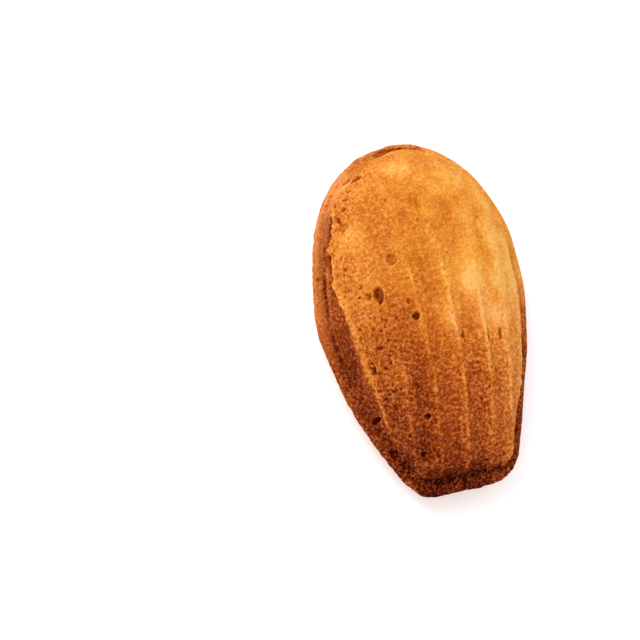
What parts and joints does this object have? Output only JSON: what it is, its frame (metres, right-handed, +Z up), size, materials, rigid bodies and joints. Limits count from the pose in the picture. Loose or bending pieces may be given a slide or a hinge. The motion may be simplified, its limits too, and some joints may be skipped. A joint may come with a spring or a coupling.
{
  "type": "madeleine cake",
  "caption": "Small shell-shaped sponge cake with a ribbed golden crust, a browned rim and hinge end and a softly humped underside.",
  "frame": {"origin": "middle of the cake's box, on the surface that the flat spot of its underside rests on", "axes": "+Y along the cake from the narrow hinge end to the wide round end, +X across it, +Z up out of the ribbed shell"},
  "size_m": [0.0474, 0.0778, 0.0214],
  "materials": {
    "crust": null
  },
  "bodies": {
    "root": {"madeleine": "crust"}
  },
  "joints": []
}
